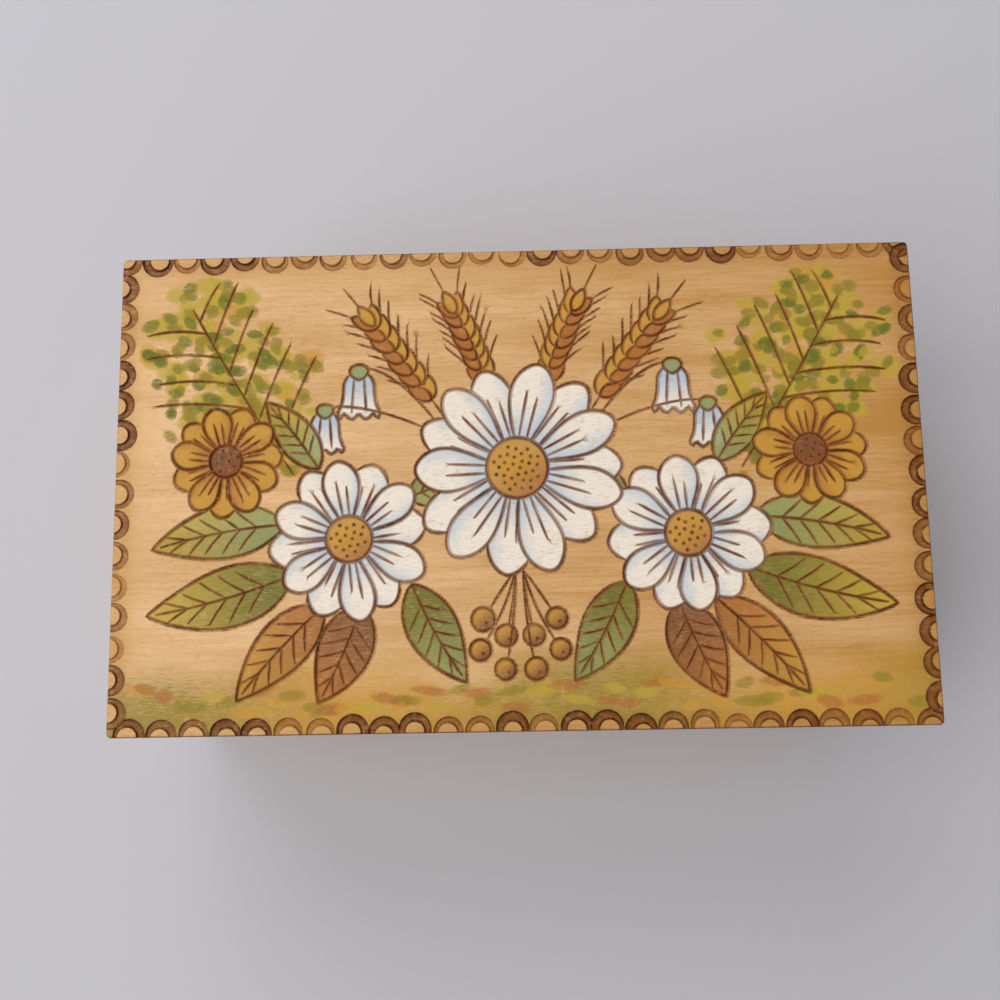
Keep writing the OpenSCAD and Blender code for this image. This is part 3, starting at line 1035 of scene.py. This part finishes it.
def streaks(tree, place, axis, along, across, lean, detail, distortion):
    """Noise drawn out along the grain, so long along it and so wide across it in millimetres, at a lean."""
    scale = [1 / (across * MM)] * 3
    scale["XY".index(axis)] = 1 / (along * MM)
    drawn = add(tree, "Mapping", {"Vector": place, "Scale": scale, "Rotation": (0, 0, lean)})
    return add(tree, "TexNoise", {"Vector": drawn, "Scale": 1.0, "Detail": detail, "Distortion": distortion})


def linden_grain(tree, place, woods, axis, left_tone, right_tone):
    """Colour, flecks, pores and relief of sanded linden: broad figure, fine lines and short flecks.

    Its tone runs from one share of the late wood at the left end to another at the right end. Where the
    two differ, as on the lid, the change is painted shade, darker where less light falls.
    """
    broad = streaks(tree, place, axis, along=40, across=7, lean=0.03, detail=3.0, distortion=0.6)
    fine = streaks(tree, place, axis, along=9, across=0.5, lean=0.035, detail=3.0, distortion=0.5)
    # Real pores are finer: these are as coarse as the render needs to show them
    pores = streaks(tree, place, axis, along=1.6, across=0.2, lean=0.04, detail=2.0, distortion=0.3)
    tone = add(tree, "Math", {0: fine, 1: 0.6, 2: broad}, operation="MULTIPLY_ADD")
    figure = {"Value": tone, "From Min": 0.58, "From Max": 1.02, "To Min": -0.28, "To Max": 0.28}
    across = add(tree, "SeparateXYZ", {"Vector": place}).outputs["X"]
    left, right = cad_box[0].x, cad_box[1].x
    # Tone across the board: on the lid this is painted shade, darker towards the right, where less light
    # falls
    ends = {"Value": across, "From Min": left, "From Max": right, "To Min": left_tone, "To Max": right_tone}
    tones = {0: add(tree, "MapRange", figure), 1: add(tree, "MapRange", ends)}
    toned = add(tree, "Math", tones, operation="ADD", use_clamp=True)
    wood = add(tree, "Mix", {"Factor": toned, "A": woods.pale, "B": woods.dark}, data_type="RGBA")
    flecks = add(tree, "MapRange", {"Value": pores, "From Min": 0.5, "From Max": 0.8, "To Max": 0.44})
    grained = add(tree, "Mix", {"Factor": flecks, "A": wood, "B": woods.fleck}, data_type="RGBA")
    relief = add(tree, "Bump", {"Height": pores, "Strength": 0.15, "Distance": 0.06 * MM})
    return grained, flecks, pores, relief


def varnished_lid_wood(woods):
    """Linden under clear semi-gloss varnish: honey wood with dark flecks, opaque and thin paints on it."""
    material, tree, surface, place = new_material("varnished_painted_linden")
    # The late wood that rises towards the right is painted shade
    grained, flecks, pores, relief = linden_grain(tree, place, woods, "X", *LID_TONES_AND_PAINTED_SHADE)
    paint = add(tree, "Attribute", attribute_name="paint").outputs
    streak = add(tree, "Math", {0: flecks, 1: -0.45, 2: 1.03}, operation="MULTIPLY_ADD")
    grain_over = {"Factor": 1.0, "A": paint["Color"], "B": streak}
    streaked = add(tree, "Mix", grain_over, data_type="RGBA", blend_type="MULTIPLY")
    rubs = add(tree, "TexNoise", {"Vector": place, "Scale": 1 / (1.1 * MM), "Detail": 4.0, "Roughness": 0.65})
    rubbed = {"Value": rubs, "From Min": 0.52, "From Max": 0.78, "To Min": 1.0, "To Max": 0.62}
    wear = add(tree, "MapRange", rubbed)
    cover = add(tree, "Math", {0: paint["Alpha"], 1: wear}, operation="MULTIPLY")
    bare = add(tree, "Math", {0: 1.0, 1: cover}, operation="SUBTRACT")
    thin = add(tree, "Math", {0: cover, 1: bare}, operation="MULTIPLY")
    soaked = {"Value": pores, "From Min": 0.3, "From Max": 0.7, "To Min": 1.6, "To Max": -1.6}
    soak = add(tree, "MapRange", soaked)
    uneven = add(tree, "Math", {0: thin, 1: soak, 2: cover}, operation="MULTIPLY_ADD", use_clamp=True)
    colour = add(tree, "Mix", {"Factor": uneven, "A": grained, "B": streaked}, data_type="RGBA")
    feed(tree, surface, {"Base Color": colour, "Normal": relief, **VARNISH})
    return material


def varnished_wall_wood(woods, axis):
    """Plain sanded and varnished linden: even honey wood with a soft gloss, its grain along X or Y."""
    material, tree, surface, place = new_material("varnished_linden_along_" + axis.lower())
    grained, _, _, relief = linden_grain(tree, place, woods, axis, *WALL_TONES)
    feed(tree, surface, {"Base Color": grained, "Normal": relief, **VARNISH})
    return material


def sawn_end_grain(woods):
    """Sawn and varnished ends of the linden boards: darker, with year rings and open pores as dots."""
    name = "varnished_linden_end_grain"
    if name in bpy.data.materials:
        return bpy.data.materials[name]
    material, tree, surface, place = new_material(name)
    tilt = {"Vector": place, "Scale": (1 / (1.6 * MM),) * 3, "Rotation": (0.5, 0.3, 0.2)}
    rings = {"Vector": add(tree, "Mapping", tilt), "Scale": 0.35, "Distortion": 1.2, "Detail": 2.0}
    years = add(tree, "TexWave", rings, wave_type="RINGS").outputs["Fac"]
    shade = add(tree, "Mix", {"Factor": years, "A": woods.end, "B": woods.dark}, data_type="RGBA")
    # Real pores are finer: these dots are as coarse as the render needs to show them
    dots = add(tree, "TexNoise", {"Vector": place, "Scale": 1 / (0.3 * MM), "Detail": 2.0})
    speck = add(tree, "MapRange", {"Value": dots, "From Min": 0.45, "From Max": 0.8, "To Max": 0.7})
    dotted = add(tree, "Mix", {"Factor": speck, "A": shade, "B": woods.fleck}, data_type="RGBA")
    feed(tree, surface, {"Base Color": dotted, "Roughness": 0.5})
    return material


def sanded_plywood(woods):
    """Bare sanded birch plywood: pale face veneer with long soft grain."""
    material, tree, surface, place = new_material("sanded_birch_plywood")
    bands = streaks(tree, place, "X", along=40, across=2.2, lean=0.0, detail=4.0, distortion=1.0)
    # Real pores are finer: these are as coarse as the render needs to show them
    pores = streaks(tree, place, "X", along=6, across=0.4, lean=0.0, detail=2.0, distortion=0.0)
    wood = add(tree, "Mix", {"Factor": bands, "A": woods.veneer, "B": woods.dark}, data_type="RGBA")
    relief = add(tree, "Bump", {"Height": pores, "Strength": 0.2, "Distance": 0.08 * MM})
    feed(tree, surface, {"Base Color": wood, "Normal": relief, "Roughness": 0.62})
    return material


def aged_brass(name, woods, tarnish):
    """Rolled brass, polished once and since tarnished in blotches, to a share of the full patina."""
    material, tree, surface, place = new_material(name)
    spots = {"Vector": place, "Scale": 1 / (2.5 * MM), "Detail": 5.0, "Roughness": 0.6}
    blotch = add(tree, "TexNoise", spots)
    amount = add(tree, "MapRange", {"Value": blotch, "From Min": 0.42, "From Max": 0.75, "To Max": tarnish})
    colour = add(tree, "Mix", {"Factor": amount, "A": woods.brass, "B": woods.patina}, data_type="RGBA")
    dulled = {"Value": blotch, "From Min": 0.3, "From Max": 0.8, "To Min": 0.22, "To Max": 0.5}
    feed(tree, surface, {"Base Color": colour, "Roughness": add(tree, "MapRange", dulled), "Metallic": 1.0})
    return material


def drawn_steel(woods):
    """Bright drawn steel wire with faint scratches."""
    material, tree, surface, place = new_material("drawn_steel_wire")
    scratch = add(tree, "TexNoise", {"Vector": place, "Scale": 1 / (0.4 * MM), "Detail": 3.0})
    dull = add(tree, "MapRange", {"Value": scratch, "To Min": 0.25, "To Max": 0.5})
    feed(tree, surface, {"Base Color": woods.steel, "Roughness": dull, "Metallic": 1.0})
    return material


def placed(name, data):
    """An object in the scene with that data."""
    made = bpy.data.objects.new(name, data)
    bpy.context.scene.collection.objects.link(made)
    return made


def dressed_piece(mesh, name, node, materials):
    """Puts a mesh in the scene in place of a CAD node, on that node's body."""
    for material in materials:
        mesh.materials.append(material)
    mesh.polygons.foreach_set("use_smooth", [True] * len(mesh.polygons))
    mesh.set_sharp_from_angle(angle=SHARP_ANGLE)
    piece = placed(name, mesh)
    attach(piece, BODY_OF[node])
    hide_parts(node)


def finish_node(node, material):
    """Gives a CAD node its material."""
    materials = frame["nodes"][node].data.materials
    materials.clear()
    materials.append(material)


def soften(bm, edges, radius, segments):
    """Rounds edges off."""
    bmesh.ops.bevel(
        bm,
        geom=edges,
        offset=radius,
        offset_type="OFFSET",
        affect="EDGES",
        segments=segments,
        profile=0.5,
        material=-1,
    )


def softened_board(node, woods, carving):
    """Copy of a CAD board with its rims rounded and its other long edges eased."""
    bm = bmesh.new()
    bm.from_mesh(frame["nodes"][node].data)
    bmesh.ops.remove_doubles(bm, verts=bm.verts, dist=WELD)
    bmesh.ops.dissolve_limit(bm, angle_limit=FLAT_ANGLE, verts=bm.verts, edges=bm.edges)
    half = np.array((cad_box[1] - cad_box[0])[:2]) / 2
    low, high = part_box(node)
    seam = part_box("front_wall")[1].z

    def outside(v):
        gap = edge_distance(np.array([v.co[:2]]), half, carving.corner_radius)[0]
        return abs(gap) < TOUCH

    def on_rim(edge):
        a, b = edge.verts
        level = min(abs(a.co.z - z) + abs(b.co.z - z) for z in (low.z, high.z))
        return level < TOUCH and a.co.z < seam + TOUCH and outside(a) and outside(b)

    def is_sharp(edge):
        return edge.calc_length() > EASED_LENGTH and edge.calc_face_angle(0) > EASED_ANGLE

    soften(bm, [edge for edge in bm.edges if edge.is_manifold and on_rim(edge)], woods.rim_round, 3)
    soften(bm, [edge for edge in bm.edges if edge.is_manifold and is_sharp(edge)], woods.joint_line, 1)
    return bm


def with_end_grain(faces, axis):
    """Gives the sawn ends across the grain the second material."""
    for face in faces:
        face.material_index = int(abs(face.normal["XY".index(axis)]) > END_GRAIN)


class TRINKET_OT_lid_board(bpy.types.Operator):
    """Carve, burn and paint the lid board"""

    bl_idname = "trinket.lid_board"
    bl_label = "Lid board"

    def execute(self, context):
        scene = context.scene
        woods = scene.trinket_woods
        mesh = carved_lid(scene.trinket_carving, scene.trinket_paints, woods.joint_line)
        materials = [varnished_lid_wood(woods), sawn_end_grain(woods)]
        dressed_piece(mesh, "carved_lid_board", "lid_panel", materials)
        return {"FINISHED"}


class TRINKET_OT_wall_boards(bpy.types.Operator):
    """Soften and varnish the walls of the box and the rails of the lid"""

    bl_idname = "trinket.wall_boards"
    bl_label = "Walls and rails"

    def execute(self, context):
        scene = context.scene
        ends = sawn_end_grain(scene.trinket_woods)
        for axis, nodes in BOARDS.items():
            face_grain = varnished_wall_wood(scene.trinket_woods, axis)
            for node in nodes:
                bm = softened_board(node, scene.trinket_woods, scene.trinket_carving)
                with_end_grain(bm.faces, axis)
                mesh = bpy.data.meshes.new(node + "_board")
                bm.to_mesh(mesh)
                bm.free()
                dressed_piece(mesh, node + "_board", node, [face_grain, ends])
        return {"FINISHED"}


class TRINKET_OT_base(bpy.types.Operator):
    """Finish the plywood base and its brads"""

    bl_idname = "trinket.base"
    bl_label = "Base and brads"

    def execute(self, context):
        woods = context.scene.trinket_woods
        finish_node("base_panel", sanded_plywood(woods))
        finish_node("base_brads", drawn_steel(woods))
        return {"FINISHED"}


class TRINKET_OT_hinges(bpy.types.Operator):
    """Finish the hinge leaves, pins and screws"""

    bl_idname = "trinket.hinges"
    bl_label = "Hinges"

    def execute(self, context):
        woods = context.scene.trinket_woods
        leaf_brass = aged_brass("tarnished_brass", woods, tarnish=1.0)
        screw_brass = aged_brass("rubbed_brass", woods, tarnish=0.3)
        for node in HINGE_NODES:
            finish_node(node, screw_brass if node.endswith("screws") else leaf_brass)
        return {"FINISHED"}


def soft_lamp(name, power, place, size):
    """A square soft light that faces the middle of the box."""
    lamp = bpy.data.lights.new(name, "AREA")
    lamp.energy = power
    lamp.size = size
    light = placed(name, lamp)
    light.location = place
    light.rotation_euler = (-Vector(place)).to_track_quat("-Z", "Y").to_euler()


def matt_floor(studio):
    """Matt pale board that runs into the backdrop at some distance from the box."""
    material, tree, surface, place = new_material("matt_pale_floor")
    feed(tree, surface, {"Base Color": studio.floor, "Roughness": 0.9, "Specular IOR Level": 0.2})
    away = add(tree, "VectorMath", {0: place}, operation="LENGTH").outputs["Value"]
    near, far = FLOOR_FADE
    ring = {"Value": away, "From Min": near, "From Max": far}
    fade = add(tree, "MapRange", ring, interpolation_type="SMOOTHSTEP")
    seen = add(tree, "LightPath").outputs["Is Camera Ray"]
    amount = add(tree, "Math", {0: fade, 1: seen}, operation="MULTIPLY")
    glow = add(tree, "Emission", {"Color": studio.backdrop})
    mixed = add(tree, "MixShader", {0: amount, 1: surface, 2: glow})
    feed(tree, tree.nodes["Material Output"], {"Surface": mixed})
    return material


def soft_surround(studio):
    """Even light from all round, which the eye and gloss see as the pale backdrop."""
    world = bpy.data.worlds.new("soft_surround")
    world.use_nodes = True
    tree = world.node_tree
    sky = tree.nodes["Background"]
    feed(tree, sky, {"Color": (1, 1, 1), "Strength": studio.sky})
    ray = add(tree, "LightPath").outputs
    gloss = add(tree, "Math", {0: ray["Is Glossy Ray"], 1: ray["Is Transmission Ray"]}, operation="ADD")
    seen = add(tree, "Math", {0: ray["Is Camera Ray"], 1: gloss}, operation="ADD", use_clamp=True)
    backdrop = add(tree, "Background", {"Color": studio.backdrop})
    mixed = add(tree, "MixShader", {0: seen, 1: sky, 2: backdrop})
    feed(tree, tree.nodes["World Output"], {"Surface": mixed})
    return world


class TRINKET_OT_stage(bpy.types.Operator):
    """Set the floor, the light and the photograph's viewpoint"""

    bl_idname = "trinket.stage"
    bl_label = "Stage"

    def execute(self, context):
        scene = context.scene
        studio = scene.trinket_studio
        bm = bmesh.new()
        bmesh.ops.create_grid(bm, x_segments=1, y_segments=1, size=FLOOR_HALF)
        mesh = bpy.data.meshes.new("floor")
        bm.to_mesh(mesh)
        bm.free()
        mesh.materials.append(matt_floor(studio))
        floor = placed("floor", mesh)

        soft_lamp("left_lamp", studio.left, *LEFT_LAMP)
        soft_lamp("back_lamp", studio.back, *BACK_LAMP)
        scene.world = soft_surround(studio)
        scene.view_settings.view_transform = "Standard"

        camera = placed("photo_camera", bpy.data.cameras.new("photo_camera"))
        camera.data.lens = CAMERA_LENS
        camera.data.clip_start = CAMERA_NEAR * MM
        camera.location = [value * MM for value in CAMERA_PLACE]
        camera.rotation_euler = [math.radians(angle) for angle in CAMERA_TURN]
        scene.camera = camera
        return {"FINISHED"}


class TRINKET_PT_box(bpy.types.Panel):
    """Lists the pieces of the box and their settings"""

    bl_idname = "TRINKET_PT_box"
    bl_label = "Trinket box"
    bl_space_type = "VIEW_3D"
    bl_region_type = "UI"
    bl_category = "Trinket box"

    def draw(self, context):
        for operator in OPERATORS:
            self.layout.operator(operator.bl_idname)
        for name, group in SETTINGS.items():
            box = self.layout.box()
            box.label(text=group.__doc__)
            for setting in group.__annotations__:
                box.prop(getattr(context.scene, name), setting)


OPERATORS = (
    TRINKET_OT_lid_board,
    TRINKET_OT_wall_boards,
    TRINKET_OT_base,
    TRINKET_OT_hinges,
    TRINKET_OT_stage,
)
SETTINGS = {
    "trinket_carving": LidCarving,
    "trinket_paints": LidPaints,
    "trinket_woods": Woods,
    "trinket_studio": Studio,
}
CLASSES = (*SETTINGS.values(), *OPERATORS, TRINKET_PT_box)


def register():
    for cls in CLASSES:
        bpy.utils.register_class(cls)
    for name, group in SETTINGS.items():
        setattr(bpy.types.Scene, name, PointerProperty(type=group))


def unregister():
    for name in SETTINGS:
        delattr(bpy.types.Scene, name)
    for cls in reversed(CLASSES):
        bpy.utils.unregister_class(cls)


def main():
    register()
    bpy.ops.trinket.lid_board()
    bpy.ops.trinket.wall_boards()
    bpy.ops.trinket.base()
    bpy.ops.trinket.hinges()
    bpy.ops.trinket.stage()


if __name__ == "__main__":
    main()
